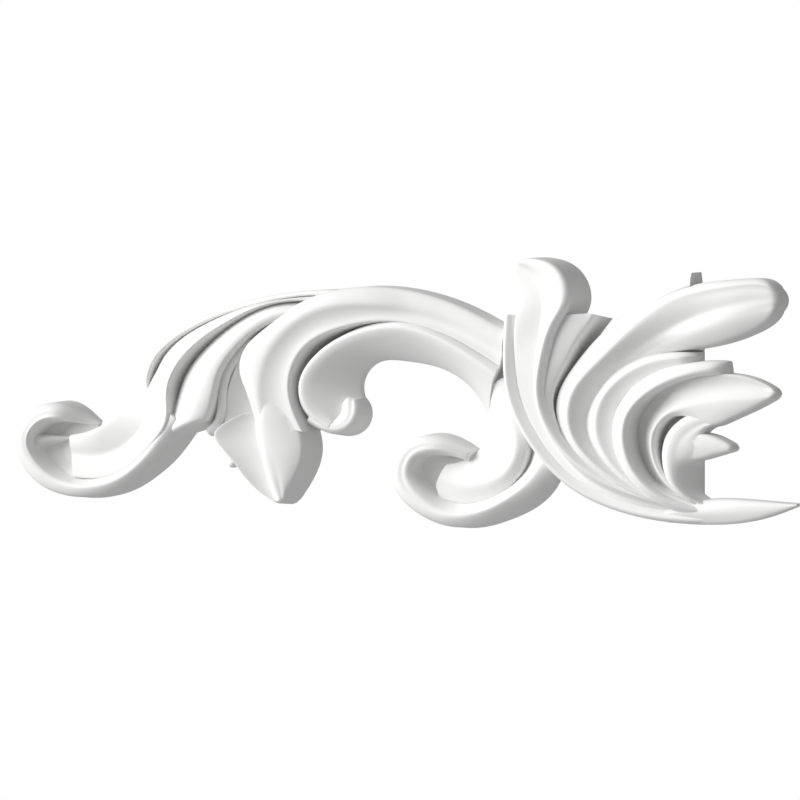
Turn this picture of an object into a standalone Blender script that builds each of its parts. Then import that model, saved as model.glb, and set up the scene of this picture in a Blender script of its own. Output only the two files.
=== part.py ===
"""Moulding end ornament: one cast scrolled acanthus applique, flat at the back.

The carving is a set of lobes. Each lobe is carried by rails, smooth curves that run
along it side by side: the first and last are its edges, the ones between are its
creases and crests. The lobes overlap and are united into one solid, which is then
cut flat at the wall and stepped where its leaf tips lap over the moulding.

Rails are in millimetres: x along the wall, z up, heights out from the wall. The
origin is on the flat back, under the heart of the leaf, on the centre line of the
moulding that the leaf closes.
"""
import math
from typing import NamedTuple

import bmesh
import bpy
import numpy as np

MM = 0.001
PIECE = "scroll_ornament"
DRAFT = math.tan(math.radians(5.0))
STATION_STEP = 4.6
FEWEST_STATIONS = 5
TIP_STATIONS = 2
FULL_SWELL_GAP = 4.0
BURIED = 3.0
BURIED_STEP = 0.07
END_PLANE_X = 26.0
SEAT_LIFT = 7.0
CUT_REACH = 400.0
CUT_DEPTH = 60.0
SHARP_ANGLE = math.radians(34.0)
PRIMER_WHITE = (0.86, 0.86, 0.85, 1.0)
PRIMER_ROUGHNESS = 0.55


class Rail(NamedTuple):
    """Curve in the wall plane, with heights at even steps along it."""

    plan: tuple
    heights: tuple


class Beside(NamedTuple):
    """Rail that keeps beside another of the lobe, reaches positive to its right."""

    base: int
    reaches: tuple
    heights: tuple


class Lobe(NamedTuple):
    """Rails in order across, with the swell and the strips between neighbours.

    The tip says how a free end rolls over: along its last reach, by its drop.
    """

    name: str
    rails: tuple
    swell: tuple
    strips: tuple
    tip: tuple = ()


ARCH = (
    Lobe("arch_face", (
        Rail(((-62, 31), (-81, 41), (-109, 50), (-139, 51.5), (-163, 45), (-182, 33),
              (-193, 23), (-195, 14), (-192, 5), (-187.5, -8)),
             (14, 14, 15, 18, 20, 20, 19.5, 18.5)),
        Rail(((-63, 23), (-92, 37), (-125, 43.5), (-152, 41), (-171, 30), (-180.5, 17),
              (-183, 4), (-181, -10)),
             (15, 15, 16, 20, 22, 22, 22, 21.5)),
        Rail(((-64, 15), (-89, 29), (-118, 36), (-142, 33), (-161, 23.5), (-168, 9),
              (-166, -5), (-161, -15)),
             (16, 16, 17, 19, 20, 20, 19)),
    ), (0.8, -1.2), (2, 2)),
    Lobe("lip", (
        Rail(((-64, 15), (-89, 29), (-118, 36.5), (-140, 32), (-158, 22), (-167.5, 8),
              (-166, -4), (-156, -13)),
             (15, 15, 15, 12, 10, 10, 10)),
        Rail(((-65, 11), (-90, 26.5), (-120, 33.5), (-140, 29.5), (-155.5, 20), (-163.5, 7),
              (-161, -4), (-150, -13)),
             (18.5, 18.5, 18.5, 18.5, 18.5, 18, 15.5)),
        Beside(1, (-3, -3, -2.7, -3.5, -4, -4, -3.5), (17, 17, 17, 17.5, 17.5, 17, 14.5)),
        Rail(((-74, -8), (-81, 3), (-97, 14), (-118, 18.3), (-131, 17.5), (-137.5, 11),
              (-138.5, 4), (-137, -4), (-141, -10)),
             (3, 2, 2, 2, 2, 2, 3)),
    ), (0.8, 0.2, 1.0), (1, 1, 2)),
    Lobe("end_curl", (
        Rail(((-162, -11), (-151, -15.5), (-142, -15.3), (-135.8, -10), (-135.5, -3),
              (-138, 0.8)),
             (12, 12, 12, 11.5, 10.5, 9.5)),
        Rail(((-160, -8), (-151, -12), (-143.5, -12), (-139.3, -8), (-139, -3), (-140, 1)),
             (15, 15, 15, 14.5, 13, 10.5)),
        Rail(((-159, -5), (-152, -8.5), (-147, -8), (-145, -5), (-144.5, -1), (-142.5, 1.5)),
             (13, 13, 12, 11.5, 11, 9.5)),
    ), (1.2, 1.0), (1, 1), (2.0, 3.0)),
)

LOWER_SCROLL = (
    Lobe("web", (
        Rail(((-79, 2), (-74.5, -9), (-76, -19), (-83, -26.5), (-92, -29.5)),
             (3, 3, 3.5, 7, 11)),
        Rail(((-66, 8), (-59, -8), (-56, -20), (-61, -32), (-74, -38.5), (-87, -40),
              (-96.5, -39)),
             (15, 15, 15, 15, 14.5, 13.5, 12)),
        Rail(((-62, 10), (-53, -8), (-51.5, -20), (-55, -32), (-67, -43.5), (-83, -47),
              (-95, -45.5)),
             (16, 14.5, 13, 12, 12, 11.5, 10.5)),
    ), (1.5, 0.2), (2, 1)),
    Lobe("lower_band", (
        Beside(1, (-7, -7.5, -6, -6, -6.5, -5, -2.5), (8, 11, 12, 14, 15.5, 14, 9)),
        Rail(((-45, -18), (-47, -31), (-57, -42), (-72, -49.5), (-90, -51), (-103, -45),
              (-111, -34), (-107.5, -24.5), (-96.5, -20.8), (-80.5, -25.5)),
             (10, 16, 19, 18.5, 18, 17.5, 17, 12)),
        Beside(1, (7, 7.5, 6, 5, 5.5, 4.5, 2.5), (5, 5, 7, 10, 14, 14, 9)),
    ), (1.2, 1.6), (2, 2), (1.0, 3.0)),
    Lobe("lower_eye", (
        Rail(((-98, -22), (-108, -26), (-111, -34), (-108, -42), (-98, -48)),
             (13, 14, 14, 13.5, 12)),
        Rail(((-91, -25), (-96, -29), (-98, -35), (-96, -41), (-91, -45)), (4, 3, 3, 3, 4)),
        Rail(((-82, -27), (-82, -36), (-82, -45)), (3, 3, 3)),
    ), (-1.2, 0.0), (2, 1)),
)

SWEPT_LEAVES = (
    Lobe("blade", (
        Rail(((-122, 50), (-160, 51), (-204, 44), (-232, 32.5), (-248, 18), (-250.5, 6),
              (-249, 2)),
             (13, 15.5, 16, 16, 13)),
        Beside(0, (-3, -2.2, -2.8, -3, -1.5), (13.5, 16, 17, 17, 13)),
    ), (0.3,), (1,)),
    Lobe("upper_leaf", (
        Rail(((-145, 49), (-183, 46.5), (-218, 37), (-240, 24), (-249.5, 9), (-256, 1.5),
              (-266, -7), (-280, -14.5), (-296, -17.5)),
             (13, 13.5, 13.5, 12, 11, 10.5, 14, 15.5, 11.5)),
        Rail(((-147, 47.5), (-180, 45.8), (-210, 36.5), (-232, 22), (-242, 5), (-248, -8.5),
              (-260, -20.5), (-277, -26.5), (-295, -26)),
             (13.5, 18, 20, 20, 19.5, 18, 15, 12.5, 11)),
        Rail(((-148, 46), (-176, 45.5), (-203, 35), (-224, 20.5), (-233.5, 3), (-234, -10),
              (-242, -20), (-257, -31.5), (-276, -38.3), (-294, -38.5)),
             (14, 20, 22, 22, 22, 21, 17, 13, 11)),
    ), (0.8, 0.4), (2, 2)),
    Lobe("middle_leaf", (
        Rail(((-158, 45), (-180, 45.3), (-202, 36.5), (-218.7, 24), (-228.5, 12), (-232.5, 1),
              (-235.3, -10), (-236.8, -17)),
             (14, 14, 14, 13.5, 13, 12.5, 12.5, 13, 14.5, 16.5)),
        Rail(((-155, 38), (-175, 37), (-194, 26), (-205.5, 11), (-209.5, -3), (-213, -10)),
             (16, 19.5, 21.5, 22, 22, 20.5)),
    ), (3.6,), (3,), (3.5, 4.0)),
    Lobe("fold", (
        Rail(((-190, 29), (-203, 16), (-208, 0), (-210.5, -9), (-216, -14)),
             (18, 18, 18, 17, 15)),
        Beside(0, (-2.5, -3, -3, -3.5, -4), (17, 17, 17, 16, 14)),
    ), (0.4,), (1,)),
    Lobe("recess", (
        Rail(((-190, 31), (-200, 14), (-205, 0), (-206.5, -12)), (16, 16, 15.5, 14)),
        Rail(((-183, 24), (-186, 8), (-187, -12)), (3, 3, 4)),
    ), (-1.0,), (2,)),
    Lobe("hanging_leaf", (
        Rail(((-196, -6.5), (-204.5, -10.5), (-210, -16), (-204.5, -24), (-197, -32),
              (-186.5, -43), (-176.9, -48.9)),
             (14, 17, 18, 18, 16.5, 14.5)),
        Rail(((-191, -8), (-190.3, -15), (-188, -24), (-183, -36), (-176, -48.6)),
             (9.5, 9.5, 9.5, 11.5, 14.5)),
        Rail(((-185.5, 2), (-185.4, -8), (-183.6, -18), (-178.8, -35), (-175, -48.3)),
             (17, 20.5, 20.5, 19, 14.5)),
        Rail(((-181.5, 3), (-180.8, -9), (-178.3, -21), (-174.3, -36), (-174.2, -47.8)),
             (20, 22, 21.5, 19.5, 14.5)),
        Rail(((-170, 2), (-164, -12), (-161.8, -24), (-166, -36), (-173.4, -47)),
             (15, 17.5, 18, 17.5, 14.5)),
    ), (-0.8, 0.4, 0.3, 0.8), (2, 1, 1, 1), (2.5, 4.0)),
    Lobe("tooth", (
        Rail(((-203, -20), (-206.5, -26), (-210, -31.5)), (6, 5.5, 4)),
        Rail(((-200, -26), (-205, -30), (-208, -32.5)), (6, 5.5, 4)),
    ), (0.2,), (1,)),
)

UPPER_SCROLL = (
    Lobe("upper_band", (
        Beside(1, (-5, -5.5, -4.5, -5, -6.5, -7.5, -7, -5.5, -1.5),
               (16, 14, 14, 14, 15, 16, 15.5, 14, 2.5)),
        Rail(((-231, -8), (-245, -24), (-262, -37), (-284, -42), (-302, -38.5), (-314, -30),
              (-318.5, -20), (-314, -11.5), (-304, -7), (-295, -8), (-284.5, -12)),
             (20, 19, 18.5, 18, 17.5, 18, 18, 17, 3)),
        Beside(1, (7, 7, 6.5, 4.5, 2.5, 2.2, 2.5, 3.5, 1.5),
               (14, 9, 6, 7, 10, 14, 16, 15, 2.5)),
    ), (1.0, 1.6), (2, 1)),
    Lobe("upper_eye", (
        Rail(((-306, -8), (-315, -12), (-318.5, -20), (-315.5, -29), (-308, -36), (-296, -39)),
             (9, 10, 10, 10, 10, 10.5)),
        Rail(((-298, -11), (-305, -15), (-307, -21), (-304, -28), (-299, -32), (-288, -35)),
             (2.5, 2.5, 2.5, 2.5, 3.5, 6)),
        Rail(((-284, -13), (-284, -22), (-282, -34)), (2.5, 2.5, 6)),
    ), (-0.8, 0.0), (2, 1)),
    Lobe("eye_ridge", (
        Rail(((-321, -17), (-310, -18), (-298, -18.3)), (15.5, 10.5, 5.5)),
        Rail(((-319, -26), (-309.5, -21.5), (-298, -19.3)), (14.5, 9.5, 5.5)),
    ), (0.5,), (1,)),
)

LEAF_FAN = (
    Lobe("outer_lobe", (
        Beside(1, (-1.2, -1.8, -1.8, -1.8, -1.8, -1.8, -1.8), (6, 10, 13, 14, 15.5, 16, 15)),
        Rail(((50, -50.5), (20, -51.5), (-8, -47), (-32, -36), (-50.5, -15.5), (-58.5, 2),
              (-60.5, 20), (-60, 38)),
             (8, 13, 15, 16.5, 18, 18.5, 17)),
        Beside(1, (2.5, 3.5, 4, 4.5, 4.5, 4.5, 5), (6, 10.5, 12, 13, 14, 14, 13.5)),
    ), (0.4, 0.2), (1, 1)),
    Lobe("tall_lobe", (
        Rail(((30, -49), (0, -47), (-24, -37.5), (-44, -19), (-54, 0), (-57, 20), (-55.5, 37),
              (-54, 45.5), (-55.5, 53), (-57.9, 58.2)),
             (8, 11, 13, 14.5, 15, 15, 15.5, 17.5, 17)),
        Rail(((29, -48.5), (0, -43.5), (-22, -35), (-38, -20), (-46.5, -2), (-46.5, 18),
              (-43, 36), (-42.5, 47), (-47, 55.5), (-56.4, 60.6)),
             (11, 13, 13.5, 13.5, 13.5, 14, 15.5, 18, 17)),
        Rail(((28, -47.5), (0, -41), (-20, -32), (-36, -17), (-43, 0), (-41.5, 18), (-36, 34),
              (-31, 44), (-33, 53), (-40.5, 59.7), (-53, 62.5)),
             (13, 17, 20, 22.5, 24, 25, 25, 23.5, 17.5)),
        Rail(((27, -47), (1, -39.5), (-17, -30.5), (-33, -15.5), (-40, 0), (-38.5, 18),
              (-33, 34), (-28, 43.5), (-29.8, 53), (-37, 60), (-48.4, 63)),
             (12, 15, 18, 20, 21.5, 22, 22.5, 22.5, 17)),
    ), (0.2, 1.0, 0.4), (1, 2, 1), (1.5, 3.0)),
    Lobe("side_lobe", (
        Rail(((20, -47), (-4, -40), (-24, -29), (-38, -12), (-42, 4), (-39.5, 22), (-35, 37)),
             (12, 16, 19, 21.5, 21.5, 20.5, 19.5)),
        Rail(((22, -47), (-2, -40), (-21, -28.5), (-34.5, -12), (-37, 2), (-32, 16),
              (-20.5, 37.8)),
             (12, 16, 17.5, 18, 18.5, 19, 19)),
        Rail(((24, -47), (2, -42), (-17, -31), (-33, -15), (-38.3, 0), (-34, 11),
              (-26.3, 25), (-17, 37)),
             (9, 12, 13, 13.5, 15, 16.5, 17.2)),
    ), (0.5, 0.9), (1, 1)),
    Lobe("long_lobe", (
        Rail(((30, -49.5), (2, -43.5), (-18, -33), (-33, -19), (-37.5, -2), (-29, 15.5),
              (-11, 33.5), (9, 44.5), (32, 50), (50, 51), (58, 50), (61.8, 47.2)),
             (9, 13, 14.5, 15, 15, 14, 15, 17, 18.5, 18.5)),
        Rail(((30, -48), (4, -41), (-17, -28), (-28.5, -12), (-27.5, 2), (-16, 16), (4, 33.5),
              (20, 42), (40, 46), (54, 47), (63.4, 45.2)),
             (12, 17, 20.5, 22, 22, 21.5, 20.5, 20, 20.5, 19)),
        Rail(((30, -46.5), (6, -39), (-14, -26), (-23.5, -13), (-22.5, -2), (-12, 12),
              (4, 24.5), (23, 34), (39, 39), (54, 42), (64.2, 42.6)),
             (11, 13.5, 15, 15, 15, 15, 16, 17.5, 20, 19.2)),
        Rail(((30, -45.5), (5, -37), (-13, -23), (-20.5, -12), (-19, -2), (-9, 10), (5, 21),
              (24, 28.5), (41, 33.5), (55, 37.8), (63.8, 39.8)),
             (9, 12, 13, 13, 13, 13, 15, 19, 20.5, 19)),
        Rail(((30, -44), (6, -35), (-10, -21), (-17.5, -11), (-15, 0), (-5, 10), (10, 19),
              (25, 22.2), (42, 25.6), (53, 29.8), (59.5, 34), (62.2, 37.4)),
             (8, 9, 9, 9, 9, 9, 12, 15, 16.5, 18)),
    ), (1.2, 0.4, 0.2, 0.6), (2, 1, 1, 1), (4.5, 5.0)),
    Lobe("horn", (
        Rail(((-14, 31.5), (-2, 41), (25, 54.3)), (12, 15, 17)),
        Rail(((-6, 31), (6, 40), (25, 48)), (18, 18.8, 19)),
    ), (0.6,), (1,)),
    Lobe("slope_lobe", (
        Rail(((33, -50.5), (6, -43.5), (-14, -30), (-24, -11), (-18, 4), (-6, 15), (8, 19.8),
              (27, 20.4)),
             (8, 12, 13.5, 13.5, 13.5, 14, 13.5, 13)),
        Rail(((32, -49), (8, -42), (-8, -30), (-16.5, -16), (-15.5, -2), (-4, 11), (9, 16.8),
              (27, 18.6)),
             (10, 16, 19, 20.5, 20.5, 20, 19, 18)),
        Rail(((32, -46), (13, -40), (-3.5, -26), (-9, -12), (-6, 0), (5, 6.5), (27, 13)),
             (9, 14, 17, 17, 17, 17, 15.5)),
    ), (0.8, -0.4), (1, 2), (8.5, 11.0)),
    Lobe("inner_lobe", (
        Beside(1, (-1.5, -3.5, -4.3, -5.5, -6.5, -6.5, -5, -3),
               (8, 13, 16.5, 18, 18, 17.5, 17, 16)),
        Rail(((33, -49), (14, -43), (1, -32), (-4, -19), (-2.5, -7), (5, 2), (20, 9.6),
              (40.5, 13.4)),
             (11, 16.5, 20.5, 22, 22.5, 21.5, 20.5, 17.5)),
        Beside(1, (1.2, 1.2, 1.2, 1.2, 1.2, 1.2, 1.4, 2.4),
               (10, 15.5, 19.3, 21, 21.5, 20.5, 19, 16)),
    ), (0.8, 0.2), (2, 1), (7.0, 8.0)),
    Lobe("pointed_lobe", (
        Rail(((24, -47), (6, -36), (-1.5, -22), (-1.5, -8), (7, 3.5), (26, 10), (42, 10.8),
              (55, 7.4), (61, 4)),
             (6, 6.5, 7, 7.5, 10, 15, 16, 15.5, 15)),
        Rail(((27, -46.5), (14, -37), (7.5, -25), (7, -15), (14, -5.5), (27, -1), (42, 1),
              (54, 2.2), (61.6, 2.8)),
             (12, 15, 17, 17, 17, 17, 17, 16.5, 15.3)),
        Rail(((29, -46), (16, -36.5), (9, -25), (8.7, -15), (15.5, -7), (25, -8), (33, -10.8),
              (42, -8), (52, -3.5), (60.8, 1.2)),
             (9, 13.5, 15.5, 15.5, 15.5, 15, 15, 15, 15, 15)),
    ), (-2.0, 0.6), (2, 1), (3.5, 4.0)),
    Lobe("heart_lobe", (
        Rail(((30, -46.5), (15, -40), (9.5, -27), (11, -16.5), (19, -8), (28, -4), (37, -2.5)),
             (8, 8, 8, 8.5, 11, 13, 11)),
        Rail(((30, -45), (17, -37), (13, -25), (15.5, -14.5), (23, -8.5), (31, -6), (39, -4)),
             (12, 17, 18.5, 18, 16.8, 14.8, 11)),
        Rail(((29, -43.5), (20, -37), (18, -26), (20.5, -17), (27, -11.5), (34, -9),
              (41, -7)),
             (10, 15.5, 17.5, 17.5, 16.2, 14.6, 11)),
        Rail(((32, -42.5), (27.5, -38.5), (27, -33), (27.2, -28), (28.3, -24), (28.6, -20),
              (28.6, -16.5), (30.5, -13), (34.5, -10.6), (41, -8.6)),
             (6, 5.5, 5.5, 6.5, 13.5, 15.4, 15.2, 14.8, 14, 11)),
    ), (1.2, 0.4, 0.6), (2, 1, 1)),
    Lobe("heart_tip", (
        Rail(((15, -15.5), (28, -14.4), (36, -16.2), (42.4, -19.4)), (12.5, 15.9, 15.8, 15)),
        Rail(((15, -20.5), (28, -20), (43, -20.4)), (13, 16.5, 16.2, 15.6)),
        Rail(((15, -26), (27, -25.6), (36, -23.2), (42.6, -21.3)), (12, 15, 14.8, 15)),
    ), (0.2, 0.2), (1, 1), (2.5, 3.0)),
    Lobe("long_tip", (
        Rail(((12, -46), (34, -42.5), (55, -43), (69.2, -43.9)), (10, 11.5, 12.3, 12.5)),
        Rail(((12, -49), (40, -47.2), (69.4, -44.2)), (13, 13.5, 12.8)),
        Rail(((12, -53), (38, -53), (58, -49), (69.2, -44.5)), (9, 10.5, 11.5, 12.5)),
    ), (0.3, 0.3), (1, 1)),
)

CLEFT_FLOORS = (
    Lobe("arch_root_floor", (
        Rail(((-69, 20), (-62, 20), (-55, 19)), (10, 10, 10)),
        Rail(((-68, 6.5), (-62, 6), (-55, 5)), (10, 10, 10)),
    ), (0.0,), (1,)),
    Lobe("lip_floor", (
        Rail(((-143, 37), (-160, 28), (-170, 13)), (5, 5, 5)),
        Rail(((-139, 28), (-153, 20), (-160, 10)), (5, 5, 5)),
    ), (0.0,), (1,)),
    Lobe("slot_floor", (
        Rail(((5, -26), (4.5, -14), (14, -3)), (5, 5, 5)),
        Rail(((14, -26), (15, -18), (23, -9.5)), (5, 5, 5)),
    ), (0.0,), (1,)),
)

ORNAMENT = ARCH + LOWER_SCROLL + SWEPT_LEAVES + UPPER_SCROLL + LEAF_FAN + CLEFT_FLOORS


def smooth_curve(points, shares):
    """Natural cubic spline through plan points, read at shares of its chord length."""
    values = np.array(points, dtype=float)
    knots = np.concatenate(([0.0], np.cumsum(np.linalg.norm(np.diff(values, axis=0), axis=1))))
    at = shares * knots[-1]
    last = len(knots) - 1
    gap = np.diff(knots)
    system = np.eye(last + 1)
    bends = np.zeros_like(values)
    for i in range(1, last):
        system[i, i - 1:i + 2] = gap[i - 1], 2.0 * (gap[i - 1] + gap[i]), gap[i]
        ahead = (values[i + 1] - values[i]) / gap[i]
        behind = (values[i] - values[i - 1]) / gap[i - 1]
        bends[i] = 6.0 * (ahead - behind)
    bends = np.linalg.solve(system, bends)
    span = np.clip(np.searchsorted(knots, at, side="right") - 1, 0, last - 1)
    width = gap[span][:, None]
    a = (knots[span + 1] - at)[:, None] / width
    b = 1.0 - a
    chord = a * values[span] + b * values[span + 1]
    curve = (a ** 3 - a) * bends[span] + (b ** 3 - b) * bends[span + 1]
    return chord + curve * width ** 2 / 6.0


def even_values(given, shares):
    """Values given at even steps, eased between so that they never overshoot."""
    values = np.array(given, dtype=float)
    rise = np.diff(values)
    slope = np.zeros(len(values))
    both = rise[:-1] * rise[1:]
    turn = np.where(both > 0.0, 2.0 * both / np.where(both > 0.0, rise[:-1] + rise[1:], 1.0), 0.0)
    slope[1:-1] = turn
    slope[0] = rise[0]
    slope[-1] = rise[-1]
    at = shares * (len(values) - 1.0)
    span = np.minimum(at.astype(int), len(values) - 2)
    u = at - span
    start = (1.0 + 2.0 * u) * (1.0 - u) ** 2 * values[span] + u * (1.0 - u) ** 2 * slope[span]
    end = u * u * (3.0 - 2.0 * u) * values[span + 1] + u * u * (u - 1.0) * slope[span + 1]
    return start + end


def right_normals(line):
    """Unit normals to the right of a plan curve."""
    along = np.gradient(line, axis=0)
    along /= np.linalg.norm(along, axis=1)[:, None]
    return np.stack([along[:, 1], -along[:, 0]], axis=1)


def station_shares(lobe, longest):
    """Shares of the length where stations lie, and how far the free end has fallen.

    Over the tip's reach the end rolls over by a quarter of an ellipse: the stations go
    on by its sine, and the heights fall by the drop times one less its cosine.
    """
    count = max(FEWEST_STATIONS, int(longest / STATION_STEP) + 1)
    if not lobe.tip:
        return np.linspace(0.0, 1.0, count), np.zeros(count)
    reach, drop = lobe.tip
    start = 1.0 - reach / longest
    roll = np.linspace(0.0, math.pi / 2.0, TIP_STATIONS + 1)
    along = np.linspace(0.0, start, count)[:-1]
    shares = np.concatenate((along, start + (1.0 - start) * np.sin(roll)))
    falls = np.concatenate((np.zeros(count - 1), drop * (1.0 - np.cos(roll))))
    return shares, falls


def rail_lines(lobe):
    """Points of every rail as rows of x, z and height, with their stations level."""
    longest = max(
        np.linalg.norm(np.diff(np.array(rail.plan), axis=0), axis=1).sum()
        for rail in lobe.rails if isinstance(rail, Rail)
    )
    shares, falls = station_shares(lobe, longest)
    plans = {
        i: smooth_curve(rail.plan, shares)
        for i, rail in enumerate(lobe.rails) if isinstance(rail, Rail)
    }
    lines = []
    for i, rail in enumerate(lobe.rails):
        if isinstance(rail, Beside):
            base = plans[rail.base]
            plan = base + right_normals(base) * even_values(rail.reaches, shares)[:, None]
        else:
            plan = plans[i]
        lines.append(np.column_stack([plan, even_values(rail.heights, shares) - falls]))
    return lines


def edge_normals(line, other):
    """Plan normals of an edge rail, pointing away from the rest of the lobe."""
    normals = right_normals(line[:, :2])
    middle = len(line) // 2
    away = line[middle, :2] - other[middle, :2]
    return normals if normals[middle] @ away > 0.0 else -normals


def cross_section(lobe, lines, station, feet):
    """Ring of one station: foot, over the top from edge to edge, foot."""
    ring = [feet[0]]
    for swell, strips, near, far in zip(lobe.swell, lobe.strips, lines, lines[1:]):
        here = near[station]
        step = far[station] - here
        fullness = swell * min(1.0, np.linalg.norm(step[:2]) / FULL_SWELL_GAP)
        for strip in range(strips):
            u = strip / strips
            point = here + step * u
            ring.append((point[0], point[1], point[2] + fullness * 4.0 * u * (1.0 - u)))
    ring.append(tuple(lines[-1][station]))
    ring.append(feet[1])
    return ring


def end_feet(ring, behind, buried):
    """Feet of a free end: its ring let down behind the wall, drafted onwards."""
    onwards = np.mean([point[:2] for point in ring], axis=0)
    onwards = onwards - np.mean([point[:2] for point in behind], axis=0)
    onwards /= np.linalg.norm(onwards)
    feet = []
    for x, z, h in ring[1:-1]:
        reach = (h + buried) * DRAFT
        feet.append((x + onwards[0] * reach, z + onwards[1] * reach, -buried))
    return feet


def new_verts(bm, points):
    """Vertices at points of x, z and height in millimetres."""
    return [bm.verts.new((x * MM, -h * MM, z * MM)) for x, z, h in points]


def lobe_solid(lobe, buried):
    """Closed solid of one lobe, its drafted sides running to behind the wall."""
    lines = rail_lines(lobe)
    out_first = edge_normals(lines[0], lines[-1])
    out_last = edge_normals(lines[-1], lines[0])
    sections = []
    for station in range(len(lines[0])):
        feet = []
        for edge, out in ((lines[0][station], out_first), (lines[-1][station], out_last)):
            foot = edge[:2] + out[station] * (edge[2] + buried) * DRAFT
            feet.append((foot[0], foot[1], -buried))
        sections.append(cross_section(lobe, lines, station, feet))
    bm = bmesh.new()
    rings = [new_verts(bm, section) for section in sections]
    for ring, following in zip(rings, rings[1:]):
        for i in range(len(ring) - 1):
            bm.faces.new((ring[i], ring[i + 1], following[i + 1], following[i]))
    soles = [bm.verts.new((ring[0].co + ring[-1].co) / 2.0) for ring in rings]
    for ring, following, sole, next_sole in zip(rings, rings[1:], soles, soles[1:]):
        bm.faces.new((ring[-1], sole, next_sole, following[-1]))
        bm.faces.new((sole, ring[0], following[0], next_sole))
    last = rings[-1]
    if lobe.tip:
        last = new_verts(bm, end_feet(sections[-1], sections[-2], buried))
        last = [rings[-1][0]] + last + [rings[-1][-1]]
        bm.faces.new((last[0], rings[-1][1], last[1]))
        for i in range(1, len(last) - 2):
            bm.faces.new((last[i], rings[-1][i], rings[-1][i + 1], last[i + 1]))
        bm.faces.new((last[-2], rings[-1][-2], last[-1]))
    for ring, sole in ((rings[0], soles[0]), (last, soles[-1])):
        for a, b in zip(ring, ring[1:]):
            bm.faces.new((a, b, sole))
    bmesh.ops.triangulate(bm, faces=bm.faces)
    bmesh.ops.recalc_face_normals(bm, faces=bm.faces)
    return object_from(bm, lobe.name)


def cutter(name, low, high):
    """Box cutter between two corners in millimetres, given as x, y and z."""
    bm = bmesh.new()
    bmesh.ops.create_cube(bm, size=1.0)
    for vert in bm.verts:
        for i in range(3):
            vert.co[i] = (low[i] if vert.co[i] < 0.0 else high[i]) * MM
    obj = object_from(bm, name)
    obj.hide_render = True
    obj.display_type = "WIRE"
    return obj


def object_from(bm, name):
    """Object at the origin that holds a bmesh, which is freed."""
    mesh = bpy.data.meshes.new(name)
    bm.to_mesh(mesh)
    bm.free()
    obj = bpy.data.objects.new(name, mesh)
    bpy.context.collection.objects.link(obj)
    return obj


def combine(target, tool, operation):
    """Apply an exact Boolean to the target and remove the tool."""
    modifier = target.modifiers.new(tool.name, "BOOLEAN")
    modifier.operation = operation
    modifier.solver = "EXACT"
    modifier.object = tool
    graph = bpy.context.evaluated_depsgraph_get()
    mesh = bpy.data.meshes.new_from_object(target.evaluated_get(graph))
    target.modifiers.clear()
    target.data = mesh
    bpy.data.objects.remove(tool, do_unlink=True)


def primer():
    """Matt white factory primer."""
    material = bpy.data.materials.new("white_primed_foam")
    material.use_nodes = True
    shader = material.node_tree.nodes["Principled BSDF"]
    shader.inputs["Base Color"].default_value = PRIMER_WHITE
    shader.inputs["Roughness"].default_value = PRIMER_ROUGHNESS
    shader.inputs["Metallic"].default_value = 0.0
    return material


def main():
    """Unite the lobes, cut the back flat and step it for the moulding."""
    for old in list(bpy.data.objects):
        bpy.data.objects.remove(old, do_unlink=True)
    solids = [lobe_solid(lobe, BURIED + BURIED_STEP * i) for i, lobe in enumerate(ORNAMENT)]
    ornament = solids[0]
    for solid in solids[1:]:
        combine(ornament, solid, "UNION")
    wall = cutter("wall_cut", (-CUT_REACH, 0.0, -CUT_REACH), (CUT_REACH, CUT_DEPTH, CUT_REACH))
    combine(ornament, wall, "DIFFERENCE")
    seat = cutter("seat_cut", (END_PLANE_X, -SEAT_LIFT, -CUT_REACH),
                  (CUT_REACH, CUT_DEPTH, CUT_REACH))
    combine(ornament, seat, "DIFFERENCE")
    ornament.name = PIECE
    ornament.data.name = PIECE
    ornament.data.materials.clear()
    ornament.data.materials.append(primer())
    ornament.data.shade_smooth()
    ornament.data.set_sharp_from_angle(angle=SHARP_ANGLE)


main()
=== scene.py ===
"""Moulding end ornament: one cast scrolled acanthus applique, dressed for the studio.

The carving is a set of lobes. Each lobe is carried by rails, smooth curves that run
along it side by side: the first and last are its edges, the ones between are its
creases and crests. Here every rim and crease is rounded as in a cast, the lobes are
united, and the piece is cut flat at the wall and stepped for the moulding.

Rails are in millimetres: x along the wall, z up, heights out from the wall. The
origin is on the flat back, under the heart of the leaf.
"""
import logging
import math
from dataclasses import dataclass
from enum import Enum
from typing import Union

import bmesh
import bpy
import numpy as np
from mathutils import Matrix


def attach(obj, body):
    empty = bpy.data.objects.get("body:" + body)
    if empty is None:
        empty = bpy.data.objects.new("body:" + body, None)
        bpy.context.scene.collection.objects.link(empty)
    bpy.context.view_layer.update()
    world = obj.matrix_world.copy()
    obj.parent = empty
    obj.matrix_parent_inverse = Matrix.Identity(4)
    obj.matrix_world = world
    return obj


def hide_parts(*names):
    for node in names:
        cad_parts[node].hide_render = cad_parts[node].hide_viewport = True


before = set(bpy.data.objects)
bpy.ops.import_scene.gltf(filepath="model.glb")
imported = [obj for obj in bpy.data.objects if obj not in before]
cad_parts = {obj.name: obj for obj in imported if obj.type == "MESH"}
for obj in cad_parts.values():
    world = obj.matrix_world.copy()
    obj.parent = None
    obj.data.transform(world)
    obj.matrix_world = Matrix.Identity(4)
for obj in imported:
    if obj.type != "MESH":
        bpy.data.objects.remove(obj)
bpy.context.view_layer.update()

log = logging.getLogger("moulding_end_ornament")

MM = 0.001
CAD_NODE = "scroll_ornament"


@dataclass(frozen=True)
class Rail:
    """Curve in the wall plane, with heights at even steps along it."""

    plan: tuple
    heights: tuple


@dataclass(frozen=True)
class Beside:
    """Rail that keeps beside another of the lobe, reaches positive to its right."""

    base: int
    reaches: tuple
    heights: tuple


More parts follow.
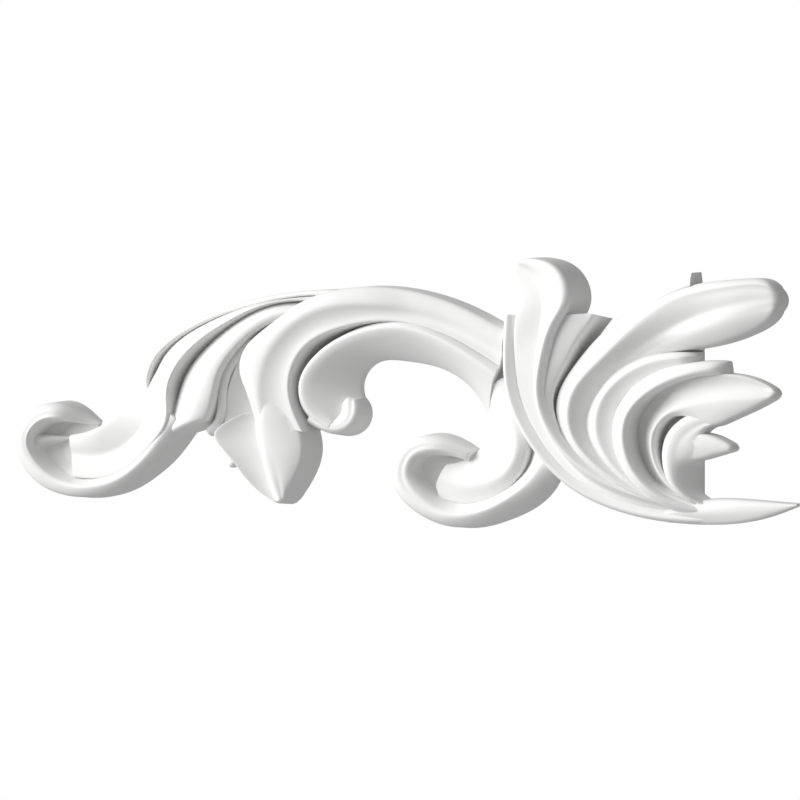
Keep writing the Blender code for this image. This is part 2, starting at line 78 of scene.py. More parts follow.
@dataclass(frozen=True)
class Lobe:
    """Rails in order across, with the swell and the strips between neighbours.

    The tip says how a free end rolls over: along its last reach, by its drop.
    """

    name: str
    rails: tuple
    swell: tuple
    strips: tuple
    tip: tuple = ()


ARCH = (
    Lobe("arch_face", (
        Rail(((-62, 31), (-81, 41), (-109, 50), (-139, 51.5), (-163, 45), (-182, 33),
              (-193, 23), (-195, 14), (-192, 5), (-187.5, -8)),
             (14, 14, 15, 18, 20, 20, 19.5, 18.5)),
        Rail(((-63, 23), (-92, 37), (-125, 43.5), (-152, 41), (-171, 30), (-180.5, 17),
              (-183, 4), (-181, -10)),
             (15, 15, 16, 20, 22, 22, 22, 21.5)),
        Rail(((-64, 15), (-89, 29), (-118, 36), (-142, 33), (-161, 23.5), (-168, 9),
              (-166, -5), (-161, -15)),
             (16, 16, 17, 19, 20, 20, 19)),
    ), (0.8, -1.2), (2, 2)),
    Lobe("lip", (
        Rail(((-64, 15), (-89, 29), (-118, 36.5), (-140, 32), (-158, 22), (-167.5, 8),
              (-166, -4), (-156, -13)),
             (15, 15, 15, 12, 10, 10, 10)),
        Rail(((-65, 11), (-90, 26.5), (-120, 33.5), (-140, 29.5), (-155.5, 20), (-163.5, 7),
              (-161, -4), (-150, -13)),
             (18.5, 18.5, 18.5, 18.5, 18.5, 18, 15.5)),
        Beside(1, (-3, -3, -2.7, -3.5, -4, -4, -3.5), (17, 17, 17, 17.5, 17.5, 17, 14.5)),
        Rail(((-74, -8), (-81, 3), (-97, 14), (-118, 18.3), (-131, 17.5), (-137.5, 11),
              (-138.5, 4), (-137, -4), (-141, -10)),
             (3, 2, 2, 2, 2, 2, 3)),
    ), (0.8, 0.2, 1.0), (1, 1, 2)),
    Lobe("end_curl", (
        Rail(((-162, -11), (-151, -15.5), (-142, -15.3), (-135.8, -10), (-135.5, -3),
              (-138, 0.8)),
             (12, 12, 12, 11.5, 10.5, 9.5)),
        Rail(((-160, -8), (-151, -12), (-143.5, -12), (-139.3, -8), (-139, -3), (-140, 1)),
             (15, 15, 15, 14.5, 13, 10.5)),
        Rail(((-159, -5), (-152, -8.5), (-147, -8), (-145, -5), (-144.5, -1), (-142.5, 1.5)),
             (13, 13, 12, 11.5, 11, 9.5)),
    ), (1.2, 1.0), (1, 1), (2.0, 3.0)),
)

LOWER_SCROLL = (
    Lobe("web", (
        Rail(((-79, 2), (-74.5, -9), (-76, -19), (-83, -26.5), (-92, -29.5)),
             (3, 3, 3.5, 7, 11)),
        Rail(((-66, 8), (-59, -8), (-56, -20), (-61, -32), (-74, -38.5), (-87, -40),
              (-96.5, -39)),
             (15, 15, 15, 15, 14.5, 13.5, 12)),
        Rail(((-62, 10), (-53, -8), (-51.5, -20), (-55, -32), (-67, -43.5), (-83, -47),
              (-95, -45.5)),
             (16, 14.5, 13, 12, 12, 11.5, 10.5)),
    ), (1.5, 0.2), (2, 1)),
    Lobe("lower_band", (
        Beside(1, (-7, -7.5, -6, -6, -6.5, -5, -2.5), (8, 11, 12, 14, 15.5, 14, 9)),
        Rail(((-45, -18), (-47, -31), (-57, -42), (-72, -49.5), (-90, -51), (-103, -45),
              (-111, -34), (-107.5, -24.5), (-96.5, -20.8), (-80.5, -25.5)),
             (10, 16, 19, 18.5, 18, 17.5, 17, 12)),
        Beside(1, (7, 7.5, 6, 5, 5.5, 4.5, 2.5), (5, 5, 7, 10, 14, 14, 9)),
    ), (1.2, 1.6), (2, 2), (1.0, 3.0)),
    Lobe("lower_eye", (
        Rail(((-98, -22), (-108, -26), (-111, -34), (-108, -42), (-98, -48)),
             (13, 14, 14, 13.5, 12)),
        Rail(((-91, -25), (-96, -29), (-98, -35), (-96, -41), (-91, -45)), (4, 3, 3, 3, 4)),
        Rail(((-82, -27), (-82, -36), (-82, -45)), (3, 3, 3)),
    ), (-1.2, 0.0), (2, 1)),
)

SWEPT_LEAVES = (
    Lobe("blade", (
        Rail(((-122, 50), (-160, 51), (-204, 44), (-232, 32.5), (-248, 18), (-250.5, 6),
              (-249, 2)),
             (13, 15.5, 16, 16, 13)),
        Beside(0, (-3, -2.2, -2.8, -3, -1.5), (13.5, 16, 17, 17, 13)),
    ), (0.3,), (1,)),
    Lobe("upper_leaf", (
        Rail(((-145, 49), (-183, 46.5), (-218, 37), (-240, 24), (-249.5, 9), (-256, 1.5),
              (-266, -7), (-280, -14.5), (-296, -17.5)),
             (13, 13.5, 13.5, 12, 11, 10.5, 14, 15.5, 11.5)),
        Rail(((-147, 47.5), (-180, 45.8), (-210, 36.5), (-232, 22), (-242, 5), (-248, -8.5),
              (-260, -20.5), (-277, -26.5), (-295, -26)),
             (13.5, 18, 20, 20, 19.5, 18, 15, 12.5, 11)),
        Rail(((-148, 46), (-176, 45.5), (-203, 35), (-224, 20.5), (-233.5, 3), (-234, -10),
              (-242, -20), (-257, -31.5), (-276, -38.3), (-294, -38.5)),
             (14, 20, 22, 22, 22, 21, 17, 13, 11)),
    ), (0.8, 0.4), (2, 2)),
    Lobe("middle_leaf", (
        Rail(((-158, 45), (-180, 45.3), (-202, 36.5), (-218.7, 24), (-228.5, 12), (-232.5, 1),
              (-235.3, -10), (-236.8, -17)),
             (14, 14, 14, 13.5, 13, 12.5, 12.5, 13, 14.5, 16.5)),
        Rail(((-155, 38), (-175, 37), (-194, 26), (-205.5, 11), (-209.5, -3), (-213, -10)),
             (16, 19.5, 21.5, 22, 22, 20.5)),
    ), (3.6,), (3,), (3.5, 4.0)),
    Lobe("fold", (
        Rail(((-190, 29), (-203, 16), (-208, 0), (-210.5, -9), (-216, -14)),
             (18, 18, 18, 17, 15)),
        Beside(0, (-2.5, -3, -3, -3.5, -4), (17, 17, 17, 16, 14)),
    ), (0.4,), (1,)),
    Lobe("recess", (
        Rail(((-190, 31), (-200, 14), (-205, 0), (-206.5, -12)), (16, 16, 15.5, 14)),
        Rail(((-183, 24), (-186, 8), (-187, -12)), (3, 3, 4)),
    ), (-1.0,), (2,)),
    Lobe("hanging_leaf", (
        Rail(((-196, -6.5), (-204.5, -10.5), (-210, -16), (-204.5, -24), (-197, -32),
              (-186.5, -43), (-176.9, -48.9)),
             (14, 17, 18, 18, 16.5, 14.5)),
        Rail(((-191, -8), (-190.3, -15), (-188, -24), (-183, -36), (-176, -48.6)),
             (9.5, 9.5, 9.5, 11.5, 14.5)),
        Rail(((-185.5, 2), (-185.4, -8), (-183.6, -18), (-178.8, -35), (-175, -48.3)),
             (17, 20.5, 20.5, 19, 14.5)),
        Rail(((-181.5, 3), (-180.8, -9), (-178.3, -21), (-174.3, -36), (-174.2, -47.8)),
             (20, 22, 21.5, 19.5, 14.5)),
        Rail(((-170, 2), (-164, -12), (-161.8, -24), (-166, -36), (-173.4, -47)),
             (15, 17.5, 18, 17.5, 14.5)),
    ), (-0.8, 0.4, 0.3, 0.8), (2, 1, 1, 1), (2.5, 4.0)),
    Lobe("tooth", (
        Rail(((-203, -20), (-206.5, -26), (-210, -31.5)), (6, 5.5, 4)),
        Rail(((-200, -26), (-205, -30), (-208, -32.5)), (6, 5.5, 4)),
    ), (0.2,), (1,)),
)

UPPER_SCROLL = (
    Lobe("upper_band", (
        Beside(1, (-5, -5.5, -4.5, -5, -6.5, -7.5, -7, -5.5, -1.5),
               (16, 14, 14, 14, 15, 16, 15.5, 14, 2.5)),
        Rail(((-231, -8), (-245, -24), (-262, -37), (-284, -42), (-302, -38.5), (-314, -30),
              (-318.5, -20), (-314, -11.5), (-304, -7), (-295, -8), (-284.5, -12)),
             (20, 19, 18.5, 18, 17.5, 18, 18, 17, 3)),
        Beside(1, (7, 7, 6.5, 4.5, 2.5, 2.2, 2.5, 3.5, 1.5),
               (14, 9, 6, 7, 10, 14, 16, 15, 2.5)),
    ), (1.0, 1.6), (2, 1)),
    Lobe("upper_eye", (
        Rail(((-306, -8), (-315, -12), (-318.5, -20), (-315.5, -29), (-308, -36), (-296, -39)),
             (9, 10, 10, 10, 10, 10.5)),
        Rail(((-298, -11), (-305, -15), (-307, -21), (-304, -28), (-299, -32), (-288, -35)),
             (2.5, 2.5, 2.5, 2.5, 3.5, 6)),
        Rail(((-284, -13), (-284, -22), (-282, -34)), (2.5, 2.5, 6)),
    ), (-0.8, 0.0), (2, 1)),
    Lobe("eye_ridge", (
        Rail(((-321, -17), (-310, -18), (-298, -18.3)), (15.5, 10.5, 5.5)),
        Rail(((-319, -26), (-309.5, -21.5), (-298, -19.3)), (14.5, 9.5, 5.5)),
    ), (0.5,), (1,)),
)

LEAF_FAN = (
    Lobe("outer_lobe", (
        Beside(1, (-1.2, -1.8, -1.8, -1.8, -1.8, -1.8, -1.8), (6, 10, 13, 14, 15.5, 16, 15)),
        Rail(((50, -50.5), (20, -51.5), (-8, -47), (-32, -36), (-50.5, -15.5), (-58.5, 2),
              (-60.5, 20), (-60, 38)),
             (8, 13, 15, 16.5, 18, 18.5, 17)),
        Beside(1, (2.5, 3.5, 4, 4.5, 4.5, 4.5, 5), (6, 10.5, 12, 13, 14, 14, 13.5)),
    ), (0.4, 0.2), (1, 1)),
    Lobe("tall_lobe", (
        Rail(((30, -49), (0, -47), (-24, -37.5), (-44, -19), (-54, 0), (-57, 20), (-55.5, 37),
              (-54, 45.5), (-55.5, 53), (-57.9, 58.2)),
             (8, 11, 13, 14.5, 15, 15, 15.5, 17.5, 17)),
        Rail(((29, -48.5), (0, -43.5), (-22, -35), (-38, -20), (-46.5, -2), (-46.5, 18),
              (-43, 36), (-42.5, 47), (-47, 55.5), (-56.4, 60.6)),
             (11, 13, 13.5, 13.5, 13.5, 14, 15.5, 18, 17)),
        Rail(((28, -47.5), (0, -41), (-20, -32), (-36, -17), (-43, 0), (-41.5, 18), (-36, 34),
              (-31, 44), (-33, 53), (-40.5, 59.7), (-53, 62.5)),
             (13, 17, 20, 22.5, 24, 25, 25, 23.5, 17.5)),
        Rail(((27, -47), (1, -39.5), (-17, -30.5), (-33, -15.5), (-40, 0), (-38.5, 18),
              (-33, 34), (-28, 43.5), (-29.8, 53), (-37, 60), (-48.4, 63)),
             (12, 15, 18, 20, 21.5, 22, 22.5, 22.5, 17)),
    ), (0.2, 1.0, 0.4), (1, 2, 1), (1.5, 3.0)),
    Lobe("side_lobe", (
        Rail(((20, -47), (-4, -40), (-24, -29), (-38, -12), (-42, 4), (-39.5, 22), (-35, 37)),
             (12, 16, 19, 21.5, 21.5, 20.5, 19.5)),
        Rail(((22, -47), (-2, -40), (-21, -28.5), (-34.5, -12), (-37, 2), (-32, 16),
              (-20.5, 37.8)),
             (12, 16, 17.5, 18, 18.5, 19, 19)),
        Rail(((24, -47), (2, -42), (-17, -31), (-33, -15), (-38.3, 0), (-34, 11),
              (-26.3, 25), (-17, 37)),
             (9, 12, 13, 13.5, 15, 16.5, 17.2)),
    ), (0.5, 0.9), (1, 1)),
    Lobe("long_lobe", (
        Rail(((30, -49.5), (2, -43.5), (-18, -33), (-33, -19), (-37.5, -2), (-29, 15.5),
              (-11, 33.5), (9, 44.5), (32, 50), (50, 51), (58, 50), (61.8, 47.2)),
             (9, 13, 14.5, 15, 15, 14, 15, 17, 18.5, 18.5)),
        Rail(((30, -48), (4, -41), (-17, -28), (-28.5, -12), (-27.5, 2), (-16, 16), (4, 33.5),
              (20, 42), (40, 46), (54, 47), (63.4, 45.2)),
             (12, 17, 20.5, 22, 22, 21.5, 20.5, 20, 20.5, 19)),
        Rail(((30, -46.5), (6, -39), (-14, -26), (-23.5, -13), (-22.5, -2), (-12, 12),
              (4, 24.5), (23, 34), (39, 39), (54, 42), (64.2, 42.6)),
             (11, 13.5, 15, 15, 15, 15, 16, 17.5, 20, 19.2)),
        Rail(((30, -45.5), (5, -37), (-13, -23), (-20.5, -12), (-19, -2), (-9, 10), (5, 21),
              (24, 28.5), (41, 33.5), (55, 37.8), (63.8, 39.8)),
             (9, 12, 13, 13, 13, 13, 15, 19, 20.5, 19)),
        Rail(((30, -44), (6, -35), (-10, -21), (-17.5, -11), (-15, 0), (-5, 10), (10, 19),
              (25, 22.2), (42, 25.6), (53, 29.8), (59.5, 34), (62.2, 37.4)),
             (8, 9, 9, 9, 9, 9, 12, 15, 16.5, 18)),
    ), (1.2, 0.4, 0.2, 0.6), (2, 1, 1, 1), (4.5, 5.0)),
    Lobe("horn", (
        Rail(((-14, 31.5), (-2, 41), (25, 54.3)), (12, 15, 17)),
        Rail(((-6, 31), (6, 40), (25, 48)), (18, 18.8, 19)),
    ), (0.6,), (1,)),
    Lobe("slope_lobe", (
        Rail(((33, -50.5), (6, -43.5), (-14, -30), (-24, -11), (-18, 4), (-6, 15), (8, 19.8),
              (27, 20.4)),
             (8, 12, 13.5, 13.5, 13.5, 14, 13.5, 13)),
        Rail(((32, -49), (8, -42), (-8, -30), (-16.5, -16), (-15.5, -2), (-4, 11), (9, 16.8),
              (27, 18.6)),
             (10, 16, 19, 20.5, 20.5, 20, 19, 18)),
        Rail(((32, -46), (13, -40), (-3.5, -26), (-9, -12), (-6, 0), (5, 6.5), (27, 13)),
             (9, 14, 17, 17, 17, 17, 15.5)),
    ), (0.8, -0.4), (1, 2), (8.5, 11.0)),
    Lobe("inner_lobe", (
        Beside(1, (-1.5, -3.5, -4.3, -5.5, -6.5, -6.5, -5, -3),
               (8, 13, 16.5, 18, 18, 17.5, 17, 16)),
        Rail(((33, -49), (14, -43), (1, -32), (-4, -19), (-2.5, -7), (5, 2), (20, 9.6),
              (40.5, 13.4)),
             (11, 16.5, 20.5, 22, 22.5, 21.5, 20.5, 17.5)),
        Beside(1, (1.2, 1.2, 1.2, 1.2, 1.2, 1.2, 1.4, 2.4),
               (10, 15.5, 19.3, 21, 21.5, 20.5, 19, 16)),
    ), (0.8, 0.2), (2, 1), (7.0, 8.0)),
    Lobe("pointed_lobe", (
        Rail(((24, -47), (6, -36), (-1.5, -22), (-1.5, -8), (7, 3.5), (26, 10), (42, 10.8),
              (55, 7.4), (61, 4)),
             (6, 6.5, 7, 7.5, 10, 15, 16, 15.5, 15)),
        Rail(((27, -46.5), (14, -37), (7.5, -25), (7, -15), (14, -5.5), (27, -1), (42, 1),
              (54, 2.2), (61.6, 2.8)),
             (12, 15, 17, 17, 17, 17, 17, 16.5, 15.3)),
        Rail(((29, -46), (16, -36.5), (9, -25), (8.7, -15), (15.5, -7), (25, -8), (33, -10.8),
              (42, -8), (52, -3.5), (60.8, 1.2)),
             (9, 13.5, 15.5, 15.5, 15.5, 15, 15, 15, 15, 15)),
    ), (-2.0, 0.6), (2, 1), (3.5, 4.0)),
    Lobe("heart_lobe", (
        Rail(((30, -46.5), (15, -40), (9.5, -27), (11, -16.5), (19, -8), (28, -4), (37, -2.5)),
             (8, 8, 8, 8.5, 11, 13, 11)),
        Rail(((30, -45), (17, -37), (13, -25), (15.5, -14.5), (23, -8.5), (31, -6), (39, -4)),
             (12, 17, 18.5, 18, 16.8, 14.8, 11)),
        Rail(((29, -43.5), (20, -37), (18, -26), (20.5, -17), (27, -11.5), (34, -9),
              (41, -7)),
             (10, 15.5, 17.5, 17.5, 16.2, 14.6, 11)),
        Rail(((32, -42.5), (27.5, -38.5), (27, -33), (27.2, -28), (28.3, -24), (28.6, -20),
              (28.6, -16.5), (30.5, -13), (34.5, -10.6), (41, -8.6)),
             (6, 5.5, 5.5, 6.5, 13.5, 15.4, 15.2, 14.8, 14, 11)),
    ), (1.2, 0.4, 0.6), (2, 1, 1)),
    Lobe("heart_tip", (
        Rail(((15, -15.5), (28, -14.4), (36, -16.2), (42.4, -19.4)), (12.5, 15.9, 15.8, 15)),
        Rail(((15, -20.5), (28, -20), (43, -20.4)), (13, 16.5, 16.2, 15.6)),
        Rail(((15, -26), (27, -25.6), (36, -23.2), (42.6, -21.3)), (12, 15, 14.8, 15)),
    ), (0.2, 0.2), (1, 1), (2.5, 3.0)),
    Lobe("long_tip", (
        Rail(((12, -46), (34, -42.5), (55, -43), (69.2, -43.9)), (10, 11.5, 12.3, 12.5)),
        Rail(((12, -49), (40, -47.2), (69.4, -44.2)), (13, 13.5, 12.8)),
        Rail(((12, -53), (38, -53), (58, -49), (69.2, -44.5)), (9, 10.5, 11.5, 12.5)),
    ), (0.3, 0.3), (1, 1)),
)

CLEFT_FLOORS = (
    Lobe("arch_root_floor", (
        Rail(((-69, 20), (-62, 20), (-55, 19)), (10, 10, 10)),
        Rail(((-68, 6.5), (-62, 6), (-55, 5)), (10, 10, 10)),
    ), (0.0,), (1,)),
    Lobe("lip_floor", (
        Rail(((-143, 37), (-160, 28), (-170, 13)), (5, 5, 5)),
        Rail(((-139, 28), (-153, 20), (-160, 10)), (5, 5, 5)),
    ), (0.0,), (1,)),
    Lobe("slot_floor", (
        Rail(((5, -26), (4.5, -14), (14, -3)), (5, 5, 5)),
        Rail(((14, -26), (15, -18), (23, -9.5)), (5, 5, 5)),
    ), (0.0,), (1,)),
)


class Solver(Enum):
    """Boolean operations used on the casting."""

    UNITE = "UNION"
    CUT = "DIFFERENCE"


class Lamp(Enum):
    """Kinds of studio light."""

    SOFT_SUN = "SUN"


def smooth_curve(points: tuple, shares: np.ndarray) -> np.ndarray:
    """Natural cubic spline through plan points, read at shares of its chord length.

    Between two points the curve is the chord blend a p + b q plus the usual cubic
    correction (a^3 - a) and (b^3 - b) times the second derivatives, which one linear
    system gives.

    Args:
        points: Plan points in millimetres.
        shares: Shares of the length from 0 to 1.

    Returns:
        One row of x and z for each share.
    """
    values = np.array(points, dtype=float)
    knots = np.concatenate(([0.0], np.cumsum(np.linalg.norm(np.diff(values, axis=0), axis=1))))
    at = shares * knots[-1]
    last = len(knots) - 1
    gap = np.diff(knots)
    slope = np.diff(values, axis=0) / gap[:, None]
    system = np.eye(last + 1)
    inner = np.arange(1, last)
    system[inner, inner - 1] = gap[:-1]
    system[inner, inner] = 2.0 * (gap[:-1] + gap[1:])
    system[inner, inner + 1] = gap[1:]
    bends = np.zeros_like(values)
    bends[1:-1] = 6.0 * np.diff(slope, axis=0)
    bends = np.linalg.solve(system, bends)
    span = np.clip(np.searchsorted(knots, at, side="right") - 1, 0, last - 1)
    width = gap[span][:, None]
    a = (knots[span + 1] - at)[:, None] / width
    b = 1.0 - a
    chord = a * values[span] + b * values[span + 1]
    curve = (a ** 3 - a) * bends[span] + (b ** 3 - b) * bends[span + 1]
    return chord + curve * width ** 2 / 6.0


def even_values(given: tuple, shares: np.ndarray) -> np.ndarray:
    """Values at even steps, eased between so that they never overshoot.

    The slope at each value is the harmonic mean of the rises on its two sides, and
    zero at a crest or dip; cubic Hermite pieces join them.

    Args:
        given: Values at even steps along the rail.
        shares: Shares of the length from 0 to 1.

    Returns:
        One value for each share.
    """
    values = np.array(given, dtype=float)
    rise = np.diff(values)
    slope = np.zeros(len(values))
    both = rise[:-1] * rise[1:]
    same_way = both > 0.0
    sums = np.where(same_way, rise[:-1] + rise[1:], 1.0)
    slope[1:-1] = np.where(same_way, 2.0 * both / sums, 0.0)
    slope[0] = rise[0]
    slope[-1] = rise[-1]
    at = shares * (len(values) - 1.0)
    span = np.minimum(at.astype(int), len(values) - 2)
    u = at - span
    start = (1.0 + 2.0 * u) * (1.0 - u) ** 2 * values[span] + u * (1.0 - u) ** 2 * slope[span]
    end = u * u * (3.0 - 2.0 * u) * values[span + 1] + u * u * (u - 1.0) * slope[span + 1]
    return start + end


def right_normals(line: np.ndarray) -> np.ndarray:
    """Unit normals to the right of a plan curve: its tangent turned a quarter turn.

    Args:
        line: One row of x and z for each station.

    Returns:
        One unit row for each station.
    """
    along = np.gradient(line, axis=0)
    along /= np.linalg.norm(along, axis=1)[:, None]
    return np.stack([along[:, 1], -along[:, 0]], axis=1)


def object_from(bm: bmesh.types.BMesh, name: str) -> bpy.types.Object:
    """Object at the origin that holds a bmesh, which is freed.

    Args:
        bm: Mesh in metres, in the row frame.
        name: Object name.

    Returns:
        The linked object.
    """
    mesh = bpy.data.meshes.new(name)
    bm.to_mesh(mesh)
    bm.free()
    obj = bpy.data.objects.new(name, mesh)
    bpy.context.collection.objects.link(obj)
    return obj


def combine(target: bpy.types.Object, tool: bpy.types.Object, operation: Solver) -> None:
    """Apply a Boolean to the target and remove the tool.

    Args:
        target: Object that is changed.
        tool: Object that is added or taken away.
        operation: Which of the two.
    """
    modifier = target.modifiers.new(tool.name, "BOOLEAN")
    modifier.operation = operation.value
    modifier.solver = "MANIFOLD"
    modifier.object = tool
    graph = bpy.context.evaluated_depsgraph_get()
    mesh = bpy.data.meshes.new_from_object(target.evaluated_get(graph))
    target.modifiers.clear()
    target.data = mesh
    bpy.data.objects.remove(tool, do_unlink=True)


@dataclass(frozen=True)
class CastSurface:
    """How finely a lobe is drawn, and how far its rims and creases are rounded.

    Lengths are in millimetres, but same_place is in metres. The draft is a little under
    the 5 degrees of the plain solid, which keeps these finer steps inside its box.
    """

    station_step: float = 1.9
    fewest_stations: int = 12
    steps_per_strip: int = 4
    rim_round: float = 1.5
    fillet_steps: int = 4
    draft: float = math.tan(math.radians(4.6))
    buried: float = 3.0
    buried_step: float = 0.07
    full_swell_gap: float = 4.0
    most_of_gap: float = 0.4
    tip_stations: int = 6
    same_place: float = 1e-7
    least_length: float = 1e-6

    def stations(self, lobe: Lobe, longest: float) -> tuple[np.ndarray, np.ndarray]:
        """Where a lobe's stations lie, and how far its free end has rolled over there.

        The roll is a quarter of an ellipse: over the tip's reach the stations go on by
        its sine, and the heights fall by the drop times one less its cosine.

        Args:
            lobe: Lobe to draw.
            longest: Length of its longest rail.

        Returns:
            Shares of the length from 0 to 1, and the falls in millimetres.
        """
        count = max(self.fewest_stations, int(longest / self.station_step) + 1)
        if not lobe.tip:
            return np.linspace(0.0, 1.0, count), np.zeros(count)
        reach, drop = lobe.tip
        start = 1.0 - reach / longest
        roll = np.linspace(0.0, math.pi / 2.0, self.tip_stations + 1)
        shares = np.concatenate((np.linspace(0.0, start, count)[:-1],
                                 start + (1.0 - start) * np.sin(roll)))
        falls = np.concatenate((np.zeros(count - 1), drop * (1.0 - np.cos(roll))))
        return shares, falls

    def rail_lines(self, lobe: Lobe) -> list[np.ndarray]:
        """Points of every rail as rows of x, z and height, with their stations level.

        Args:
            lobe: Lobe whose rails are read.

        Returns:
            One array of stations by three for each rail.
        """
        longest = max(
            np.linalg.norm(np.diff(np.array(rail.plan), axis=0), axis=1).sum()
            for rail in lobe.rails if isinstance(rail, Rail)
        )
        shares, falls = self.stations(lobe, longest)
        plans = {
            i: smooth_curve(rail.plan, shares)
            for i, rail in enumerate(lobe.rails) if isinstance(rail, Rail)
        }
        lines = []
        for i, rail in enumerate(lobe.rails):
            if isinstance(rail, Beside):
                base = plans[rail.base]
                plan = base + right_normals(base) * even_values(rail.reaches, shares)[:, None]
            else:
                plan = plans[i]
            heights = even_values(rail.heights, shares) - falls
            lines.append(np.column_stack([plan, heights]))
        return lines

    def foot(self, line: np.ndarray, other: np.ndarray, depth: float) -> np.ndarray:
        """Foot of an edge: the edge moved outwards by its height times the draft.

        Args:
            line: Edge rail.
            other: The opposite edge rail, which says which way is outwards.
            depth: How far behind the wall the foot lies.

        Returns:
            Array of stations by three.
        """
        normals = right_normals(line[:, :2])
        middle = len(line) // 2
        if normals[middle] @ (line[middle, :2] - other[middle, :2]) < 0.0:
            normals = -normals
        plan = line[:, :2] + normals * ((line[:, 2] + depth) * self.draft)[:, None]
        return np.column_stack([plan, np.full(len(line), -depth)])

    def grid(self, lobe: Lobe, depth: float) -> np.ndarray:
        """Surface of a lobe as a grid: stations along it, and the ring across it.

        Across, a strip is its chord plus the swell times 4 u (1 - u). At each rail the
        two strips are cut back by the rounding and joined by a quadratic curve whose
        control point is the rail itself.

        Args:
            lobe: Lobe to draw.
            depth: How far its sides run behind the wall.

        Returns:
            Array of stations by ring points by three, the sole first in each ring.
        """
        lines = self.rail_lines(lobe)
        first = self.foot(lines[0], lines[-1], depth)
        last = self.foot(lines[-1], lines[0], depth)
        corners = [first, *lines, last]
        swell = (0.0, *lobe.swell, 0.0)
        lengths = [np.linalg.norm(b - a, axis=1) for a, b in zip(corners, corners[1:])]
        cut = [np.zeros(len(first))]
        for before, after in zip(lengths, lengths[1:]):
            cut.append(np.minimum(self.rim_round, self.most_of_gap * np.minimum(before, after)))
        cut.append(np.zeros(len(first)))
        ring = [(first + last) / 2.0]
        ends = []
        strips = (1, *(n * self.steps_per_strip for n in lobe.strips), 1)
        for i, (a, b) in enumerate(zip(corners, corners[1:])):
            length = np.maximum(lengths[i], self.least_length)
            plan_gap = np.linalg.norm((b - a)[:, :2], axis=1)
            fullness = swell[i] * np.minimum(1.0, plan_gap / self.full_swell_gap)
            low = cut[i] / length
            high = 1.0 - cut[i + 1] / length
            strip = []
            for share in np.linspace(0.0, 1.0, strips[i] + 1):
                u = (low + (high - low) * share)[:, None]
                point = a + (b - a) * u
                point[:, 2:] += fullness[:, None] * 4.0 * u * (1.0 - u)
                strip.append(point)
            if ends:
                for t in np.linspace(0.0, 1.0, self.fillet_steps + 1)[1:-1]:
                    curve = (1.0 - t) ** 2 * ends[-1] + 2.0 * t * (1.0 - t) * a
                    ring.append(curve + t * t * strip[0])
            ring.extend(strip)
            ends.append(strip[-1])
        stacked = np.stack(ring, axis=1)
        return self.with_end_wall(stacked, depth) if lobe.tip else stacked

    def with_end_wall(self, grid: np.ndarray, depth: float) -> np.ndarray:
        """Let the last ring of a free end down behind the wall, drafted onwards.

        Args:
            grid: Surface of the lobe, the sole and a foot first and a foot last.
            depth: How far its sides run behind the wall.

        Returns:
            The grid with one more station, whose sole and feet stay where they were.
        """
        onwards = (grid[-1] - grid[-2])[:, :2].mean(axis=0)
        onwards /= np.linalg.norm(onwards)
        wall = grid[-1].copy()
        reach = (wall[2:-1, 2:] + depth) * self.draft
        wall[2:-1, :2] += onwards * reach
        wall[2:-1, 2] = -depth
        return np.concatenate((grid, wall[None]))

    def solid(self, lobe: Lobe, order: int) -> bpy.types.Object:
        """Closed solid of one lobe: its grid wrapped round, with a fan at either end.

        Args:
            lobe: Lobe to draw.
            order: Place in the build, which keeps the buried soles apart.

        Returns:
            The lobe's object.
        """
        grid = self.grid(lobe, self.buried + self.buried_step * order)
        stations, around, _ = grid.shape
        coords = np.stack([grid[..., 0], -grid[..., 2], grid[..., 1]], axis=-1) * MM
        index = np.arange(stations * around).reshape(stations, around)
        wrapped = np.roll(index, -1, axis=1)
        quads = np.stack([index[:-1], wrapped[:-1], wrapped[1:], index[1:]], axis=-1)
        caps = []
        for row in (index[0], index[-1]):
            sole = np.full(around - 2, row[0])
            caps.append(np.stack([row[1:-1], row[2:], sole], axis=-1))
        mesh = bpy.data.meshes.new(lobe.name)
        faces = quads.reshape(-1, 4).tolist() + np.concatenate(caps).tolist()
        mesh.from_pydata(coords.reshape(-1, 3).tolist(), [], faces)
        bm = bmesh.new()
        bm.from_mesh(mesh)
        bpy.data.meshes.remove(mesh)
        bmesh.ops.remove_doubles(bm, verts=bm.verts, dist=self.same_place)
        bmesh.ops.triangulate(bm, faces=bm.faces)
        bmesh.ops.recalc_face_normals(bm, faces=bm.faces)
        return object_from(bm, lobe.name)


@dataclass(frozen=True)
class Carving:
    """One stretch of the casting: its lobes in the order in which they are united."""

    lobes: tuple

    def solids(self, surface: CastSurface, start: int) -> list[bpy.types.Object]:
        """Solids of the lobes.

        Args:
            surface: How finely they are drawn.
            start: Number of lobes drawn before these.

        Returns:
            One object for each lobe.
        """
        solids = [surface.solid(lobe, start + i) for i, lobe in enumerate(self.lobes)]
        log.info("%s: %d lobes", type(self).__name__, len(solids))
        return solids


@dataclass(frozen=True)
class Arch(Carving):
    """Arched stem with its inner lip and the curl that ends it."""

    lobes: tuple = ARCH


@dataclass(frozen=True)
class LowerScroll(Carving):
    """Scroll that rolls up under the arch."""

    lobes: tuple = LOWER_SCROLL


@dataclass(frozen=True)
class SweptLeaves(Carving):
    """Leaves that sweep back over the arch, and the leaf that hangs from it."""

    lobes: tuple = SWEPT_LEAVES


@dataclass(frozen=True)
class UpperScroll(Carving):
    """Rolled scroll at the left end."""

    lobes: tuple = UPPER_SCROLL


@dataclass(frozen=True)
class LeafFan(Carving):
    """Fan of leaves that laps over the end of the moulding."""

    lobes: tuple = LEAF_FAN


@dataclass(frozen=True)
class CleftFloors(Carving):
    """Low floors that close the narrow clefts between lobes."""

    lobes: tuple = CLEFT_FLOORS


